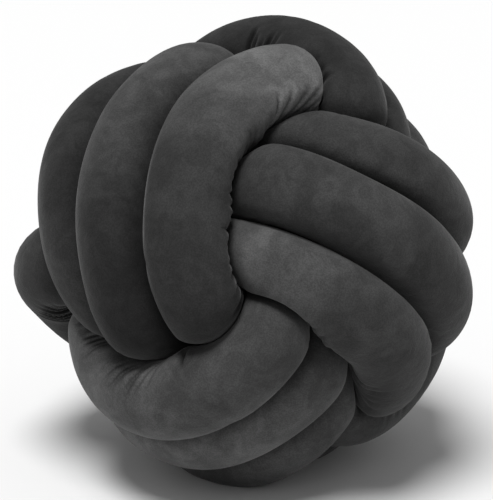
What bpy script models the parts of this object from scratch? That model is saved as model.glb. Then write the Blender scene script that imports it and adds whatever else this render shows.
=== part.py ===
"""A cuddle ball: one long stuffed velvet tube, wound and drawn up into a round knot.

The tube makes three rings, each of three turns lying side by side, and each ring is at right
angles to the other two. Every band of three strands passes over one neighbouring band and
dives under the other, all the way round. The tube's two ends are sewn together inside, so
the whole ball is one closed tube. It is worked out in millimetres in the rings' own axes:
"out" along the middle of a ring's front face, "along" the way its strands run there, and
"across" the band from strand to strand.
"""
import math

import bpy
import numpy as np
from mathutils.bvhtree import BVHTree

MM = 0.001

# ---- driving sizes, in millimetres and degrees
STAND = 121.0         # the ball's centre to a strand's centre line, at the middle of a face
REACH = 50.0          # half the angle over which a strand lies open on its face
INNER = 64.0          # the ball's centre to a strand where it turns over below the next band
INNER_SPACING = 28.0  # from strand to strand there
CORE_TUBE = 22.0      # the tube's radius where it is squeezed through the core
CORE_EXIT = (-50.0, -52.0, 14.0)    # out, along, across: where a ring's last turn goes in
CORE_MIDDLE = (-34.0, 2.0, -12.0)   # where it passes the ball's centre
CORE_ENTRY = (36.0, -44.0, -36.0)   # where the next ring's first turn comes out
PRESS_GAP = 2.4       # left between strands that press on each other
OWN_BEND = 0.85       # how much of a bend's inner radius the tube may fill
FLAT = 6.0            # how deep the ball is flattened where it rests

# The middle of the front faces of rings A and B, as seen from the front: right, up, nearer.
FACE_A = (-0.65, 0.20, 0.73)
FACE_B = (-0.03, -0.80, 0.60)
CLOCKWISE = 25.0      # then the ball is turned clockwise, as seen from the front
TO_THE_LEFT = 8.0     # and about its upright axis
SEEN_FROM_ABOVE = 16.0  # the front is seen from this much above the level

# ---- the strands, a row for each length of tube that lies open on a face
# offset: across the band from its middle; slant and close: how that changes along the
# strand, in proportion and with the square; rise: further out than STAND; lean and drop:
# how that changes along it; shift: degrees along the ring; size and swell: the tube's
# radius and how that changes along the strand.
COLUMNS = ("offset", "slant", "close", "rise", "lean", "drop", "shift", "size", "swell")
STRANDS = {
    "A front 1": (-44, 8, 10, 2, -6, 24, 0, 30, 0),
    "A front 2": (2, 3, -1, 0, -2, 18, 4, 31, 0),
    "A front 3": (47, -4, 5, -2, 2, 12, -3, 33, -3),
    "A back 1": (-44, 0, 8, 4, -5, 22, 0, 30, 0),
    "A back 2": (0, 0, 0, 4, -5, 22, 0, 30, 0),
    "A back 3": (46, 0, -8, 4, -4, 24, 0, 29, 0),
    "B front 1": (-44, 0, 8, 3, -6, 32, 0, 28, 0),
    "B front 2": (0, -2, -3, 0, 0, 26, 0, 29, 0),
    "B front 3": (38, -3, 4, 0, 8, 26, 0, 31, 1),
    "B back 3": (46, 0, -8, 5, -9, 24, 0, 30, 0),
    "C front 1": (-40, 4, 4, 1, -4, 26, 0, 28, 0),
    "C front 2": (3, -4, 0, 2, -2, 20, 0, 30, 0),
    "C front 3": (48, -7, -5, -2, -2, 22, 0, 31, -2),
    "C back 3": (42, 0, 3, 8, -6, 20, 0, 28, -2),
}
# a strand with no row of its own follows the band's rule
BAND_SPACING, BAND_CLOSE, BAND_DROP, BAND_SIZE = 46, 8, 26, 29

# ---- fineness of the solid
STATIONS = 336        # cross-sections round the whole tube
FINER = 4             # sections tried between two of them, so that none is cut across
SIDES = 14            # corners of each
CLOSER_IN_BENDS = 30.0  # mm; sections stand closer together where the tube bends
EASING = 0.05         # how far a touching corner is drawn in at a time
EASING_ROUNDS = 40

NODE = "knot_tube"
COLLECTION = "cuddle ball"
CHARCOAL = (0.045, 0.045, 0.047, 1.0)


def strand_row(ring, face, turn):
    row = STRANDS.get(f"{'ABC'[ring]} {face} {turn + 2}")
    if row is None:
        row = (BAND_SPACING * turn, 0, -BAND_CLOSE * turn, 0, 0, BAND_DROP, 0, BAND_SIZE, 0)
    return dict(zip(COLUMNS, row))


def strand_points(ring, face, turn):
    """Five points along an open strand, out, along and across, and the tube's radius at each."""
    row = strand_row(ring, face, turn)
    points, sizes = [], []
    for t in (-1.0, -0.5, 0.0, 0.5, 1.0):
        across = row["offset"] + row["slant"] * t + row["close"] * t * t
        stand = STAND + row["rise"] + row["lean"] * t - row["drop"] * t * t
        flat = math.sqrt(max(stand * stand - across * across, 100.0))
        turned = math.radians(REACH * t + row["shift"])
        if face == "back":
            turned += math.pi
        points.append((flat * math.cos(turned), flat * math.sin(turned), across))
        sizes.append(row["size"] + row["swell"] * t)
    return points, sizes


def winding():
    """The whole closed line's points in the order the tube is wound, and its radius there."""
    line, sizes = [], []

    def add(ring, point, size):
        line.append(np.roll(point, ring))
        sizes.append(size)

    for ring in range(3):
        for turn in (-1, 0, 1):
            for face in ("front", "back"):
                points, round_there = strand_points(ring, face, turn)
                for point, size in zip(points, round_there):
                    add(ring, point, size)
                if face == "front":
                    add(ring, (0.0, INNER, INNER_SPACING * turn), size)
                elif turn < 1:
                    add(ring, (0.0, -INNER, INNER_SPACING * (turn + 0.5)), size)
        add(ring, CORE_EXIT, CORE_TUBE)
        add(ring, CORE_MIDDLE, CORE_TUBE)
        add((ring + 1) % 3, CORE_ENTRY, CORE_TUBE)
    return np.array(line), np.array(sizes, float)


def smooth_closed(values, per_span):
    """A closed cubic spline through the values, read at even steps."""
    count = len(values)
    middle, beside = np.eye(count) * (4.0 / 6.0), np.eye(count) / 6.0
    knots = np.linalg.solve(
        middle + np.roll(beside, 1, axis=0) + np.roll(beside, -1, axis=0), values)
    steps = []
    for step in range(per_span):
        t = step / per_span
        weights = ((1 - t) ** 3, 3 * t ** 3 - 6 * t ** 2 + 4,
                   -3 * t ** 3 + 3 * t ** 2 + 3 * t + 1, t ** 3)
        steps.append(sum(w * np.roll(knots, shift, axis=0)
                         for w, shift in zip(weights, (1, 0, -1, -2))) / 6.0)
    return np.stack(steps, 1).reshape(count * per_span, -1)


def knot_axes():
    """The rings' axes in the room: columns for out, along and across of ring A."""
    a = np.array(FACE_A) / np.linalg.norm(FACE_A)
    b = np.array(FACE_B) - a * (a @ np.array(FACE_B))
    b = b / np.linalg.norm(b)
    axes = np.stack([a, b, np.cross(a, b)], 1)
    c, s = math.cos(math.radians(CLOCKWISE)), math.sin(math.radians(CLOCKWISE))
    axes = np.array([[c, s, 0], [-s, c, 0], [0, 0, 1]]) @ axes
    c, s = math.cos(math.radians(TO_THE_LEFT)), math.sin(math.radians(TO_THE_LEFT))
    axes = np.array([[c, 0, -s], [0, 1, 0], [s, 0, c]]) @ axes
    c, s = math.cos(math.radians(SEEN_FROM_ABOVE)), math.sin(math.radians(SEEN_FROM_ABOVE))
    front = np.array([[1, 0, 0], [0, s, -c], [0, c, s]])
    return front @ axes


def stations(line, sizes, count):
    """Evenly read places along the line, closer where it bends: points, tangents, bends, sizes, distance along."""
    step = np.roll(line, -1, axis=0) - line
    length = np.linalg.norm(step, axis=1)
    along = np.concatenate([[0.0], np.cumsum(length)])
    tangent = step / length[:, None]
    between = (length + np.roll(length, 1)) / 2
    bend = (tangent - np.roll(tangent, 1, axis=0)) / between[:, None]
    density = 1.0 + CLOSER_IN_BENDS * np.linalg.norm(bend, axis=1)
    measure = np.concatenate([[0.0], np.cumsum(length * (density + np.roll(density, -1)) / 2)])
    place = np.interp(np.arange(count) / count * measure[-1], measure, along)
    closed = lambda v: np.concatenate([v, v[:1]])
    read = lambda v: np.stack([np.interp(place, along, closed(v)[:, i]) for i in range(v.shape[1])], 1)
    middle_tangent = tangent + np.roll(tangent, 1, axis=0)
    t = read(middle_tangent)
    t /= np.linalg.norm(t, axis=1)[:, None]
    return read(line), t, read(bend), read(sizes), place, along[-1]


def carried_frames(tangents):
    """Two directions square to the line at each station, carried along without twisting, then eased so that they meet."""
    first = np.cross(tangents[0], (0.3, 0.5, 0.8))
    first /= np.linalg.norm(first)
    side = [first]
    count = len(tangents)
    for i in range(1, count + 1):
        v = side[-1] - tangents[i % count] * (side[-1] @ tangents[i % count])
        side.append(v / np.linalg.norm(v))
    other = np.cross(tangents[0], first)
    slip = math.atan2(side[-1] @ other, side[-1] @ first)
    side = np.array(side[:-1])
    second = np.cross(tangents, side)
    ease = -slip * np.arange(count) / count
    c, s = np.cos(ease)[:, None], np.sin(ease)[:, None]
    return side * c + second * s, second * c - side * s


def pressed_radius(centre, rays, bend, size, far, gap):
    """How far a section reaches along each ray: the tube's own radius, or halfway to the strand it presses on."""
    reach = np.full(len(rays), size)
    inward = rays @ bend
    reach = np.where(inward > 1e-9, np.minimum(reach, OWN_BEND / np.maximum(inward, 1e-9)), reach)
    toward = far - centre
    distance = np.linalg.norm(toward, axis=1)
    facing = rays @ (toward / distance[:, None]).T
    limit = np.where(facing > 0.02, (distance / 2 - gap / 2) / np.maximum(facing, 0.02), 1e9)
    return np.minimum(reach, limit.min(axis=1))


def ease_apart(centres, rings):
    """Draws corners in towards the centre line wherever the faceted strands would still touch."""
    count, sides = rings.shape[:2]
    here = np.arange(count * sides).reshape(count, sides)
    there = np.roll(here, -1, axis=0)
    quads = np.stack([here, np.roll(here, -1, axis=1), np.roll(there, -1, axis=1), there], -1)
    quads = quads.reshape(-1, 4)
    triangles = np.concatenate([quads[:, [0, 1, 2]], quads[:, [0, 2, 3]]])
    for _ in range(EASING_ROUNDS):
        tree = BVHTree.FromPolygons(rings.reshape(-1, 3).tolist(), triangles.tolist(),
                                    all_triangles=True, epsilon=0.0)
        pull = np.zeros(count * sides)
        for a, b in tree.overlap(tree):
            if a < b and not set(triangles[a]) & set(triangles[b]):
                pull[triangles[a]] = pull[triangles[b]] = 1.0
        if not pull.any():
            break
        pull = pull.reshape(count, sides)
        beside = np.maximum.reduce([np.roll(pull, 1, 0), np.roll(pull, -1, 0),
                                    np.roll(pull, 1, 1), np.roll(pull, -1, 1)])
        pull = np.maximum(pull, 0.5 * beside) * EASING
        rings = centres[:, None] + (rings - centres[:, None]) * (1 - pull[..., None])
    return rings


def tube_sections():
    """The corners of every section, in the room, in millimetres: the ball rests at zero, its middle over the origin."""
    points, sizes = winding()
    fine = smooth_closed(np.column_stack([points @ knot_axes().T, sizes]), 12)
    line, thick = fine[:, :3], fine[:, 3:]
    count = STATIONS * FINER
    centre, tangent, bend, size, place, total = stations(line, thick, count)
    side, second = carried_frames(tangent)
    line_place = np.concatenate([[0.0], np.cumsum(np.linalg.norm(np.diff(line, axis=0), axis=1))])
    angles = np.arange(SIDES) * 2 * math.pi / SIDES
    rays = (np.cos(angles)[:, None] * side[:, None] + np.sin(angles)[:, None] * second[:, None])
    reach = []
    for i in range(count):
        apart = np.abs(line_place - place[i])
        apart = np.minimum(apart, total - apart)
        far = line[apart > 2.6 * size[i, 0]]
        reach.append(pressed_radius(centre[i], rays[i], bend[i], size[i, 0], far, PRESS_GAP))
    reach = np.array(reach)
    least = np.minimum.reduce([np.roll(reach, k, axis=0) for k in (-1, 0, 1)])
    centre, rays, least = centre[::FINER], rays[::FINER], least[::FINER]
    rings = ease_apart(centre, centre[:, None] + rays * least[..., None])
    rings[..., 2] -= rings[..., 2].min() + FLAT
    rings[..., 2] = np.maximum(rings[..., 2], 0.0)
    corners = rings.reshape(-1, 3)
    rings[..., :2] -= (corners.min(axis=0) + corners.max(axis=0))[:2] / 2
    return rings


def velvet():
    material = bpy.data.materials.new("charcoal velvet")
    material.use_nodes = True
    shader = material.node_tree.nodes["Principled BSDF"]
    shader.inputs["Base Color"].default_value = CHARCOAL
    shader.inputs["Roughness"].default_value = 0.9
    shader.inputs["Metallic"].default_value = 0.0
    return material


def main():
    for old in list(bpy.data.objects):
        bpy.data.objects.remove(old, do_unlink=True)
    collection = bpy.data.collections.new(COLLECTION)
    bpy.context.scene.collection.children.link(collection)

    rings = tube_sections() * MM
    corners = rings.reshape(-1, 3)
    faces = []
    for i in range(STATIONS):
        here, there = i * SIDES, (i + 1) % STATIONS * SIDES
        for j in range(SIDES):
            k = (j + 1) % SIDES
            faces.append((here + j, here + k, there + k, there + j))
    mesh = bpy.data.meshes.new(NODE)
    mesh.from_pydata([tuple(c) for c in corners], [], faces)
    mesh.validate()
    mesh.shade_smooth()
    tube = bpy.data.objects.new(NODE, mesh)
    tube.data.materials.append(velvet())
    collection.objects.link(tube)


main()
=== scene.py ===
"""The cuddle ball as it looks: one stuffed velvet tube, wound into a round knot.

The tube's line is the part's own, repeated here in millimetres; on it goes a much finer skin,
whose sections are pressed flat where strands meet, with the gathers that the velvet makes on
the inner side of each bend.
"""

import math

import bpy
import numpy as np
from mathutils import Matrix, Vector


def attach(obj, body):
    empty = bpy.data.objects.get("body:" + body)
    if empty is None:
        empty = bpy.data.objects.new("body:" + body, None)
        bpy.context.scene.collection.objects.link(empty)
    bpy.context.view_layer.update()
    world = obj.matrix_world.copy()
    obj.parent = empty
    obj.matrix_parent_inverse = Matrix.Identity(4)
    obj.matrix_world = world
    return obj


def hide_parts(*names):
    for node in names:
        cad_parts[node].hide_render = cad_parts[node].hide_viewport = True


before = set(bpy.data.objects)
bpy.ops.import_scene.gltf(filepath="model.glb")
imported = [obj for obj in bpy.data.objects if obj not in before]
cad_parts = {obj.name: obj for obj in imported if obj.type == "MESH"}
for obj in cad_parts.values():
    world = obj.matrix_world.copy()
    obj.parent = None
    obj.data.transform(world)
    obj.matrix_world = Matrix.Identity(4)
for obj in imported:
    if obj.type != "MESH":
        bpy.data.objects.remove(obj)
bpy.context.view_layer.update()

MM = 0.001

# ---- the winding, as in the part: millimetres and degrees
STAND = 121.0
REACH = 50.0
INNER = 64.0
INNER_SPACING = 28.0
CORE_TUBE = 22.0
CORE_EXIT = (-50.0, -52.0, 14.0)
CORE_MIDDLE = (-34.0, 2.0, -12.0)
CORE_ENTRY = (36.0, -44.0, -36.0)
FACE_A = (-0.65, 0.20, 0.73)
FACE_B = (-0.03, -0.80, 0.60)
CLOCKWISE = 25.0
TO_THE_LEFT = 8.0
SEEN_FROM_ABOVE = 16.0
BALL_CENTRE = (6.4, 2.2, 139.4)
COLUMNS = ("offset", "slant", "close", "rise", "lean", "drop", "shift", "size", "swell")
STRANDS = {
    "A front 1": (-44, 8, 10, 2, -6, 24, 0, 30, 0),
    "A front 2": (2, 3, -1, 0, -2, 18, 4, 31, 0),
    "A front 3": (47, -4, 5, -2, 2, 12, -3, 33, -3),
    "A back 1": (-44, 0, 8, 4, -5, 22, 0, 30, 0),
    "A back 2": (0, 0, 0, 4, -5, 22, 0, 30, 0),
    "A back 3": (46, 0, -8, 4, -4, 24, 0, 29, 0),
    "B front 1": (-44, 0, 8, 3, -6, 32, 0, 28, 0),
    "B front 2": (0, -2, -3, 0, 0, 26, 0, 29, 0),
    "B front 3": (38, -3, 4, 0, 8, 26, 0, 31, 1),
    "B back 3": (46, 0, -8, 5, -9, 24, 0, 30, 0),
    "C front 1": (-40, 4, 4, 1, -4, 26, 0, 28, 0),
    "C front 2": (3, -4, 0, 2, -2, 20, 0, 30, 0),
    "C front 3": (48, -7, -5, -2, -2, 22, 0, 31, -2),
    "C back 3": (42, 0, 3, 8, -6, 20, 0, 28, -2),
}
BAND_SPACING, BAND_CLOSE, BAND_DROP, BAND_SIZE = 46, 8, 26, 29

# ---- the skin
ROUND = 46            # corners of a section
LONG = 2160           # sections
STEP_SEEN, STEP_HIDDEN = 2.8, 6.0   # millimetres between them, before they are fitted to LONG
STEPS_PER_FOLD = 5
OUTER_CLOSER = 0.35   # corners stand closer together on the side that faces out
GATHER_CLOSER = 0.62  # and closer still round a row of gathers
PRESS_GAP = 0.5       # between strands that press on each other
OWN_BEND = 0.92
SOFT_EDGE = 13.0      # how gently a pressed flat turns into the round

# ---- gathers: short folds across the tube, where it bends and its cloth is to spare
# strand; start, end: where along it, from -1 to 1; spacing and depth in millimetres; side:
# degrees round the tube from the side that faces out, plus towards its band's third strand;
# spread: how far round a fold runs from there; tilt: how far along the tube it also runs, in
# millimetres for each radian round
GATHER_COLUMNS = ("strand", "start", "end", "spacing", "depth", "side", "spread", "tilt")
GATHERS = (
    ("A front 3", -0.86, -0.48, 4.6, 4.4, 77, 23, 14),
    ("A front 3", -0.48, 0.72, 7.0, 4.2, 92, 27, 0),
    ("A front 3", 0.72, 1.00, 5.0, 2.8, 74, 26, 0),
    ("B front 3", -0.80, -0.42, 4.8, 3.0, 78, 22, 0),
    ("B front 3", -0.18, 0.20, 4.8, 3.0, 68, 19, 18),
    ("B front 3", 0.33, 0.46, 8.0, 6.0, 76, 16, 4),
    ("C back 3", -0.92, -0.50, 5.0, 3.2, 86, 28, -8),
    ("C front 3", 0.10, 0.80, 6.0, 4.4, 90, 30, 0),
    ("C front 3", -0.85, -0.35, 7.0, 2.6, 82, 30, 0),
    ("B back 3", -0.40, -0.14, 5.0, 3.6, 84, 24, 0),
    ("B back 3", -0.95, -0.70, 5.0, 3.0, 80, 28, 0),
)
# the other outer strands of each band have some near both ends, on the side away from the band
OTHER_GATHERS = ((-0.95, -0.50, 6.0, 3.2, 70, 28, 8), (0.50, 0.95, 6.0, 3.2, 70, 28, -8))
GATHER_SEED = 7
CHARCOAL = 0.048      # the velvet's own lightness
PAINTED_FOLD_LIGHT = 0.75    # painted light and shade: how much lighter or darker it is painted on the two sides of a fold
PAINTED_FOLD_SHADE = 0.11    # painted shade: how much darker it is painted for each millimetre down in a fold

# ---- the nap and painted light and shade: how light a strand is painted at its start, middle and end, partly the pile's brushing, partly painted shade where a neighbour covers it and painted light where it faces up into the light
NAP_AND_PAINTED_SHADE = {
    "A front 1": (0.80, 0.55, 0.70),
    "A front 2": (1.75, 0.75, 0.05),
    "A front 3": (3.30, 0.80, 0.42),
    "B front 1": (1.00, 1.10, 1.00),
    "B front 2": (1.10, 1.95, 0.80),
    "B front 3": (2.05, 1.40, 0.75),
    "B back 2": (0.50, 0.50, 0.55),
    "B back 3": (0.50, 0.48, 0.50),
    "C front 1": (0.70, 0.95, 0.75),
    "C front 2": (0.80, 0.80, 0.95),
    "C front 3": (0.65, 0.70, 1.80),
    "C back 3": (0.62, 0.46, 0.50),
}
NAP_AND_PAINTED_SHADE_ELSEWHERE = (1.05, 0.85, 0.75)
# and how much lighter it is painted there on the side towards its band's third
# strand, painted light and shade from the neighbours: less than nothing where it is darker on that side
PAINTED_SHADE_ACROSS = {
    "A front 1": (-0.30, -0.30, -0.25), "A front 2": (-0.20, -0.25, -0.20),
    "A front 3": (-0.12, 0.22, 0.05),
    "B front 3": (0.10, 0.10, 0.00), "B front 2": (0.00, 0.10, 0.00),
    "C front 1": (-0.12, -0.12, -0.12), "C front 2": (-0.12, -0.15, -0.20),
    "C front 3": (-0.10, -0.10, -0.10), "C back 3": (-0.45, 0.00, 0.00),
}
PAINTED_SHADE_ACROSS_ELSEWHERE = (0.0, 0.0, 0.0)


def strand_row(ring, face, turn):
    row = STRANDS.get(f"{'ABC'[ring]} {face} {turn + 2}")
    if row is None:
        row = (BAND_SPACING * turn, 0, -BAND_CLOSE * turn, 0, 0, BAND_DROP, 0, BAND_SIZE, 0)
    return dict(zip(COLUMNS, row))


def strand_points(ring, face, turn):
    row = strand_row(ring, face, turn)
    points, sizes = [], []
    for t in (-1.0, -0.5, 0.0, 0.5, 1.0):
        across = row["offset"] + row["slant"] * t + row["close"] * t * t
        stand = STAND + row["rise"] + row["lean"] * t - row["drop"] * t * t
        flat = math.sqrt(max(stand * stand - across * across, 100.0))
        turned = math.radians(REACH * t + row["shift"])
        if face == "back":
            turned += math.pi
        points.append((flat * math.cos(turned), flat * math.sin(turned), across))
        sizes.append(row["size"] + row["swell"] * t)
    return points, sizes


def winding():
    """The closed line's points, the tube's radius there, and the strand each belongs to."""
    line, sizes, names = [], [], []

    def add(ring, point, size, name):
        line.append(np.roll(point, ring))
        sizes.append(size)
        names.append(name)

    for ring in range(3):
        for turn in (-1, 0, 1):
            for face in ("front", "back"):
                points, round_there = strand_points(ring, face, turn)
                name = f"{'ABC'[ring]} {face} {turn + 2}"
                for point, size in zip(points, round_there):
                    add(ring, point, size, name)
                if face == "front":
                    add(ring, (0.0, INNER, INNER_SPACING * turn), size, "turn")
                elif turn < 1:
                    add(ring, (0.0, -INNER, INNER_SPACING * (turn + 0.5)), size, "turn")
        add(ring, CORE_EXIT, CORE_TUBE, "core")
        add(ring, CORE_MIDDLE, CORE_TUBE, "core")
        add((ring + 1) % 3, CORE_ENTRY, CORE_TUBE, "core")
    return np.array(line), np.array(sizes, float), names


def smooth_closed(values, per_span):
    """A closed cubic spline through the values, read at even steps."""
    count = len(values)
    middle, beside = np.eye(count) * (4.0 / 6.0), np.eye(count) / 6.0
    knots = np.linalg.solve(
        middle + np.roll(beside, 1, axis=0) + np.roll(beside, -1, axis=0), values)
    steps = []
    for step in range(per_span):
        t = step / per_span
        weights = ((1 - t) ** 3, 3 * t ** 3 - 6 * t ** 2 + 4,
                   -3 * t ** 3 + 3 * t ** 2 + 3 * t + 1, t ** 3)
        steps.append(sum(w * np.roll(knots, shift, axis=0)
                         for w, shift in zip(weights, (1, 0, -1, -2))) / 6.0)
    return np.stack(steps, 1).reshape(count * per_span, -1)


def turn_about(axis, degrees):
    c, s = math.cos(math.radians(degrees)), math.sin(math.radians(degrees))
    return np.array({"near": [[c, s, 0], [-s, c, 0], [0, 0, 1]],
                     "up": [[c, 0, -s], [0, 1, 0], [s, 0, c]]}[axis])


def front_axes():
    """The room's directions for right, up and nearer, as the front is seen."""
    c, s = math.cos(math.radians(SEEN_FROM_ABOVE)), math.sin(math.radians(SEEN_FROM_ABOVE))
    return np.array([[1, 0, 0], [0, s, -c], [0, c, s]])


def knot_axes():
    a = np.array(FACE_A) / np.linalg.norm(FACE_A)
    b = np.array(FACE_B) - a * (a @ np.array(FACE_B))
    b = b / np.linalg.norm(b)
    axes = np.stack([a, b, np.cross(a, b)], 1)
    return front_axes() @ turn_about("up", TO_THE_LEFT) @ turn_about("near", CLOCKWISE) @ axes


def smoothed(values, width):
    """A round-and-round running mean of a closed list, in stations."""
    kernel = np.exp(-0.5 * (np.arange(-3 * width, 3 * width + 1) / width) ** 2)
    kernel /= kernel.sum()
    values = values.reshape(len(values), -1)
    padded = np.concatenate([values[-3 * width:], values, values[:3 * width]])
    out = np.stack([np.convolve(padded[:, i], kernel, mode="valid") for i in range(values.shape[1])], 1)
    return out


def gather_groups(names, line_place, per):
    """Where each row of gathers lies along the tube."""
    rows = list(GATHERS)
    have = {row[0] for row in rows}
    for name in dict.fromkeys(names):
        if name not in have and name[-1] in "13":
            rows += [(name, *other[:4], other[4] if name[-1] == "3" else -other[4], *other[5:])
                     for other in OTHER_GATHERS]
    groups = []
    for row in rows:
        group = dict(zip(GATHER_COLUMNS, row))
        first = names.index(group["strand"])
        group["from"], group["to"] = (
            np.interp((first + 2 * (group[end] + 1)) * per, np.arange(len(line_place)), line_place)
            for end in ("start", "end"))
        groups.append(group)
    return groups


class Tube:
    """The tube's centre line, its own directions and what they need, at every section."""

    def __init__(self, count):
        points, sizes, names = winding()
        per = 24
        fine = smooth_closed(np.column_stack([points @ knot_axes().T, sizes]), per)
        self.line, thick = fine[:, :3], fine[:, 3]
        step = np.roll(self.line, -1, axis=0) - self.line
        length = np.linalg.norm(step, axis=1)
        along = np.concatenate([[0.0], np.cumsum(length)])
        self.line_place = along[:-1]
        self.total = along[-1]
        tangent = step / length[:, None]
        between = (length + np.roll(length, 1)) / 2
        bend = (tangent - np.roll(tangent, 1, axis=0)) / between[:, None]
        middle = tangent + np.roll(tangent, 1, axis=0)
        far_out = np.linalg.norm(self.line, axis=1)
        seen = np.clip((far_out - 70.0) / 25.0, 0.0, 1.0)
        apart = STEP_HIDDEN + (STEP_SEEN - STEP_HIDDEN) * seen
        self.groups = gather_groups(names, self.line_place, per)
        for group in self.groups:
            inside = (self.line_place > group["from"] - 3.0) & (self.line_place < group["to"] + 3.0)
            apart[inside] = np.minimum(apart[inside], group["spacing"] / STEPS_PER_FOLD)
        density = smoothed(1.0 / apart, 2)[:, 0]
        measure = np.concatenate([[0.0], np.cumsum(length * (density + np.roll(density, -1)) / 2)])
        self.place = np.interp(np.arange(count) / count * measure[-1], measure, along)
        closed = lambda v: np.concatenate([v, v[:1]])
        read = lambda v: np.stack([np.interp(self.place, along, closed(v)[:, i]) for i in range(v.shape[1])], 1)
        self.centre = read(self.line)
        t = read(middle)
        self.tangent = t / np.linalg.norm(t, axis=1)[:, None]
        self.bend = read(bend)
        self.size = np.interp(self.place, along, closed(thick))
        owner = np.interp(self.place, along, np.arange(len(self.line) + 1)) / per
        self.owner = [names[int(round(o)) % len(names)] for o in owner]
        self.control = owner
        self.nap_and_painted_light = self.brushed(names, NAP_AND_PAINTED_SHADE, NAP_AND_PAINTED_SHADE_ELSEWHERE)
        self.painted_shade_across = self.brushed(names, PAINTED_SHADE_ACROSS, PAINTED_SHADE_ACROSS_ELSEWHERE)
        self.frames(count)

    def brushed(self, names, table, elsewhere):
        """A table's value at every section, smoothly from strand to strand."""
        at, value = [], []
        for first, name in enumerate(names):
            if name not in ("turn", "core") and names.index(name) == first:
                at += [first, first + 2, first + 4]
                value += table.get(name, elsewhere)
        value = np.interp(self.control, at, value, period=len(names))
        return smoothed(value, 12)[:, 0]

    def frames(self, count):
        first = np.cross(self.tangent[0], (0.3, 0.5, 0.8))
        first /= np.linalg.norm(first)
        side = [first]
        for i in range(1, count + 1):
            t = self.tangent[i % count]
            v = side[-1] - t * (side[-1] @ t)
            side.append(v / np.linalg.norm(v))
        other = np.cross(self.tangent[0], first)
        slip = math.atan2(side[-1] @ other, side[-1] @ first)
        side = np.array(side[:-1])
        second = np.cross(self.tangent, side)
        ease = -slip * np.arange(count) / count
        # the side that faces out of the ball, as an angle that never jumps
        out = self.centre - self.tangent * np.einsum("ij,ij->i", self.centre, self.tangent)[:, None]
        raw = np.arctan2(np.einsum("ij,ij->i", out, second), np.einsum("ij,ij->i", out, side)) - ease
        weight = np.clip(np.linalg.norm(out, axis=1) / 60.0, 0.02, 1.0) ** 2
        turned = np.unwrap(raw)
        rounds = round((turned[-1] - turned[0]) / (2 * math.pi))
        even = rounds * 2 * math.pi * np.arange(count) / count
        self.lift = turned - even
        wide = 25
        self.lift = smoothed(self.lift * weight, wide)[:, 0] / smoothed(weight, wide)[:, 0]
        angle = self.lift + even + ease
        c, s = np.cos(angle)[:, None], np.sin(angle)[:, None]
        self.out = side * c + second * s        # faces out of the ball
        self.across = second * c - side * s


def corner_angles(tube):
    """The angles of each section's corners, from the side that faces out."""
    even = np.arange(ROUND) * 2 * math.pi / ROUND
    toward = np.zeros(len(tube.place))
    closer = np.full(len(tube.place), OUTER_CLOSER)
    for group in tube.groups:
        inside = (tube.place > group["from"] - 6.0) & (tube.place < group["to"] + 6.0)
        toward[inside] = -math.radians(group["side"])
        closer[inside] = GATHER_CLOSER
    toward, closer = smoothed(toward, 5), smoothed(closer, 5)
    return even[None] - closer * np.sin(even[None] - toward)


def pressed(tube, angles, swell):
    """How far each section reaches at each angle; swell is the stuffing's unevenness."""
    rays = np.cos(angles)[..., None] * tube.out[:, None] + np.sin(angles)[..., None] * tube.across[:, None]
    line = tube.line[::2]
    line_place = tube.line_place[::2]
    reach = np.empty(rays.shape[:2])
    for i in range(len(rays)):
        size = tube.size[i]
        apart = np.abs(line_place - tube.place[i])
        apart = np.minimum(apart, tube.total - apart)
        toward = line[apart > 2.6 * size] - tube.centre[i]
        distance = np.linalg.norm(toward, axis=1)
        near = distance < 2.6 * size
        toward, distance = toward[near], distance[near]
        own = size + swell[i]
        inward = rays[i] @ tube.bend[i]
        own = np.where(inward > 1e-9, np.minimum(own, OWN_BEND / np.maximum(inward, 1e-9)), own)
        if len(distance):
            facing = rays[i] @ (toward / distance[:, None]).T
            limit = np.where(facing > 0.02, (distance / 2 - PRESS_GAP / 2) / np.maximum(facing, 0.02), 1e9)
            limit = limit.min(axis=1)
            # a soft corner instead of a sharp one, never further out than either
            d = np.clip((limit - own) / SOFT_EDGE, -1.0, 1.0)
            own = np.minimum(own, limit) - SOFT_EDGE * 0.25 * (1 - np.abs(d)) ** 2
        reach[i] = own
    return rays, reach


def gathers(tube, angles):
    """How much deeper each corner lies in the gathers, in millimetres."""
    rng = np.random.RandomState(GATHER_SEED)
    deep = np.zeros(angles.shape)
    for group in tube.groups:
        place = group["from"] + rng.uniform(0.2, 0.8) * group["spacing"]
        while place < group["to"]:
            inside = min(place - group["from"], group["to"] - place) / (1.5 * group["spacing"])
            depth = group["depth"] * rng.uniform(0.5, 1.0) * min(1.0, 0.45 + inside)
            width = group["spacing"] * rng.uniform(0.42, 0.62)
            spread = math.radians(group["spread"] * rng.uniform(0.65, 1.15))
            middle = -math.radians(group["side"] + rng.normal(0, 4))
            slant = rng.normal(0, 0.35) * group["spacing"] - math.copysign(group["tilt"], group["side"])
            near = np.abs(tube.place - place) < width + abs(slant) * 2.0 * spread + 1.0
            off = (angles[near] - middle + math.pi) % (2 * math.pi) - math.pi
            run = np.abs(tube.place[near][:, None] - place - slant * off) / width
            deep[near] += depth * np.clip(1.0 - run, 0.0, 1.0) ** 1.4 * np.exp(-(off / spread) ** 4)
            place += group["spacing"] * rng.uniform(0.7, 1.4)
    return deep


def lumps(tube, angles):
    """The stuffing's slow unevenness, in millimetres."""
    rng = np.random.RandomState(3)
    out = np.zeros(angles.shape)
    for length, size in ((210.0, 0.5), (95.0, 0.45), (52.0, 0.3)):
        for k in (0, 1, 2):
            turns = max(1, round(tube.total / length))
            phase = rng.uniform(0, 2 * math.pi, 2)
            wobble = 1.3 * np.sin(2 * math.pi * (turns // 3) * tube.place / tube.total + phase[1])
            out += size * np.sin(2 * math.pi * turns * tube.place / tube.total + wobble + phase[0])[:, None] \
                * np.cos(k * angles + phase[1])
    return out * 0.5


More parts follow.
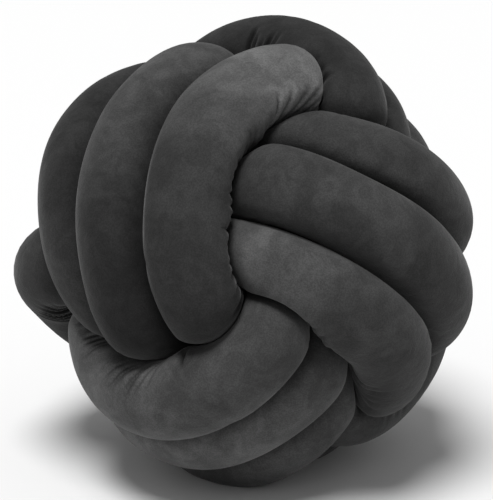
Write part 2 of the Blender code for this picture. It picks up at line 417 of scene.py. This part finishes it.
def build_tube():
    tube = Tube(LONG)
    angles = corner_angles(tube)
    rays, reach = pressed(tube, angles, lumps(tube, angles))
    smooth = smoothed(reach, 1)
    reach = np.minimum(reach, smooth) * 0.5 + smooth * 0.5
    folds = gathers(tube, angles)
    reach = reach - folds
    slope = (np.roll(folds, -1, axis=0) - np.roll(folds, 1, axis=0)) / np.maximum(
        (np.roll(tube.place, -1) - np.roll(tube.place, 1)) % tube.total, 0.5)[:, None]
    # painted light and shade: the strands' tones along and across, lighter and darker on the folds' two flanks, and
    # painted shade down in the folds, with the pile's brushing
    painted_light_and_nap = tube.nap_and_painted_light[:, None] * (1.0 - tube.painted_shade_across[:, None] * np.sin(angles))
    painted_light_and_nap = painted_light_and_nap * (1.0 + PAINTED_FOLD_LIGHT * np.clip(slope, -1.0, 1.0))
    painted_light_and_nap = painted_light_and_nap * np.clip(1.0 - PAINTED_FOLD_SHADE * folds, 0.45, 1.0)
    points = tube.centre[:, None] + rays * reach[..., None]
    points = points + np.array(BALL_CENTRE)
    points[..., 2] = np.maximum(points[..., 2], 0.0)
    points = points.reshape(-1, 3) * MM

    index = np.arange(LONG * ROUND).reshape(LONG, ROUND)
    quads = np.stack([index, np.roll(index, -1, axis=1),
                      np.roll(np.roll(index, -1, axis=0), -1, axis=1), np.roll(index, -1, axis=0)], -1).reshape(-1, 4)
    mesh = bpy.data.meshes.new("velvet_tube")
    mesh.vertices.add(len(points))
    mesh.vertices.foreach_set("co", points.astype(np.float32).ravel())
    mesh.loops.add(quads.size)
    mesh.loops.foreach_set("vertex_index", quads.astype(np.int32).ravel())
    mesh.polygons.add(len(quads))
    mesh.polygons.foreach_set("loop_start", np.arange(0, quads.size, 4, dtype=np.int32))
    mesh.polygons.foreach_set("loop_total", np.full(len(quads), 4, np.int32))
    mesh.update(calc_edges=True)
    mesh.validate()
    mesh.shade_smooth()
    # the painted light and shade, with the pile's brushing, for the material to read
    nap_and_painted_light = mesh.attributes.new("nap_and_painted_light", "FLOAT", "POINT")
    nap_and_painted_light.data.foreach_set("value", painted_light_and_nap.ravel().astype(np.float32))
    piece = bpy.data.objects.new("velvet_tube", mesh)
    bpy.context.scene.collection.objects.link(piece)
    return piece


def velvet():
    """Charcoal velvet: a nap brushed lighter and darker in patches, painted light and shade from the tube, a fine
    pile, and a soft sheen.
    """
    material = bpy.data.materials.new("charcoal_velvet")
    material.use_nodes = True
    nodes, links = material.node_tree.nodes, material.node_tree.links
    shader = nodes["Principled BSDF"]
    shader.inputs["Roughness"].default_value = 0.9
    shader.inputs["Metallic"].default_value = 0.0
    shader.inputs["Specular IOR Level"].default_value = 0.12
    shader.inputs["Sheen Weight"].default_value = 0.12
    shader.inputs["Sheen Roughness"].default_value = 0.4
    shader.inputs["Sheen Tint"].default_value = (1.0, 1.0, 1.0, 1.0)

    where = nodes.new("ShaderNodeTexCoord")

    def noise(scale, detail, rough, distortion=0.0):
        n = nodes.new("ShaderNodeTexNoise")
        n.inputs["Scale"].default_value = scale
        n.inputs["Detail"].default_value = detail
        n.inputs["Roughness"].default_value = rough
        n.inputs["Distortion"].default_value = distortion
        links.new(where.outputs["Object"], n.inputs["Vector"])
        return n.outputs["Fac"]

    def spread(value, low, high, to_low, to_high):
        n = nodes.new("ShaderNodeMapRange")
        n.interpolation_type = "SMOOTHSTEP"
        for name, number in (("From Min", low), ("From Max", high), ("To Min", to_low), ("To Max", to_high)):
            n.inputs[name].default_value = number
        links.new(value, n.inputs["Value"])
        return n.outputs["Result"]

    def times(a, b):
        n = nodes.new("ShaderNodeMath")
        n.operation = "MULTIPLY"
        for k, v in enumerate((a, b)):
            if isinstance(v, float):
                n.inputs[k].default_value = v
            else:
                links.new(v, n.inputs[k])
        return n.outputs["Value"]

    # painted light and shade from the tube, with the pile's brushing, times the velvet's own colour
    nap_and_painted_light = nodes.new("ShaderNodeAttribute")
    nap_and_painted_light.attribute_name = "nap_and_painted_light"
    broad = spread(noise(24.0, 3.0, 0.5, 0.6), 0.40, 0.60, 0.84, 1.16)
    small = spread(noise(70.0, 4.0, 0.6, 1.2), 0.38, 0.62, 0.89, 1.11)
    grain = spread(noise(1100.0, 1.0, 0.5), 0.30, 0.70, 0.84, 1.16)
    grey = times(times(times(nap_and_painted_light.outputs["Fac"], CHARCOAL), broad), times(small, grain))
    colour = nodes.new("ShaderNodeCombineColor")
    for channel, share in (("Red", 1.0), ("Green", 1.0), ("Blue", 1.0)):
        links.new(times(grey, share), colour.inputs[channel])
    links.new(colour.outputs["Color"], shader.inputs["Base Color"])

    pile = nodes.new("ShaderNodeBump")
    pile.inputs["Strength"].default_value = 0.35
    pile.inputs["Distance"].default_value = 0.0005
    links.new(noise(1300.0, 2.0, 0.6), pile.inputs["Height"])
    brushed = nodes.new("ShaderNodeBump")
    brushed.inputs["Strength"].default_value = 0.5
    brushed.inputs["Distance"].default_value = 0.0012
    links.new(noise(95.0, 3.0, 0.55, 0.5), brushed.inputs["Height"])
    links.new(pile.outputs["Normal"], brushed.inputs["Normal"])
    links.new(brushed.outputs["Normal"], shader.inputs["Normal"])
    return material


def plain(name, colour, rough):
    material = bpy.data.materials.new(name)
    material.use_nodes = True
    shader = material.node_tree.nodes["Principled BSDF"]
    shader.inputs["Base Color"].default_value = (*colour, 1.0)
    shader.inputs["Roughness"].default_value = rough
    return material


piece = build_tube()
piece.data.materials.append(velvet())
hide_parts("knot_tube")
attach(piece, "root")

# ---- the room
bpy.ops.mesh.primitive_plane_add(size=12.0, location=(0.0, 0.0, 0.0))
floor = bpy.context.active_object
floor.name = "floor"
floor.data.materials.append(plain("floor_paint", (0.86, 0.86, 0.86), 0.9))

world = bpy.data.worlds.new("room")
world.use_nodes = True
world.node_tree.nodes["Background"].inputs["Color"].default_value = (1.0, 1.0, 1.0, 1.0)
world.node_tree.nodes["Background"].inputs["Strength"].default_value = 0.31
bpy.context.scene.world = world
bpy.context.scene.view_settings.view_transform = "Standard"

CENTRE = Vector(BALL_CENTRE) * MM


def soft_sun(name, toward, strength, wide):
    """A very wide soft light, the same all over the floor."""
    data = bpy.data.lights.new(name, "SUN")
    data.energy = strength
    data.angle = math.radians(wide)
    light = bpy.data.objects.new(name, data)
    light.rotation_euler = Vector(toward).to_track_quat("Z", "Y").to_euler()
    bpy.context.scene.collection.objects.link(light)


soft_sun("overhead", (-0.12, -0.32, 1.0), 2.9, 26.0)

# ---- the camera: the front, from a little above
DISTANCE, FOCUS_PX, WIDE_PX, HIGH_PX = 1.400, 2147.0, 493, 500
CENTRE_PX = (251.0, 253.0)
camera_data = bpy.data.cameras.new("camera")
camera_data.sensor_fit = "VERTICAL"
camera_data.sensor_height = 24.0
camera_data.lens = FOCUS_PX / HIGH_PX * 24.0
camera_data.shift_x = -(CENTRE_PX[0] - WIDE_PX / 2) / HIGH_PX
camera_data.shift_y = (CENTRE_PX[1] - HIGH_PX / 2) / HIGH_PX
camera_data.clip_start = 0.05
camera = bpy.data.objects.new("camera", camera_data)
nearer = Vector(front_axes()[:, 2])
camera.location = CENTRE + nearer * DISTANCE
camera.rotation_euler = (-nearer).to_track_quat("-Z", "Y").to_euler()
bpy.context.scene.collection.objects.link(camera)
bpy.context.scene.camera = camera
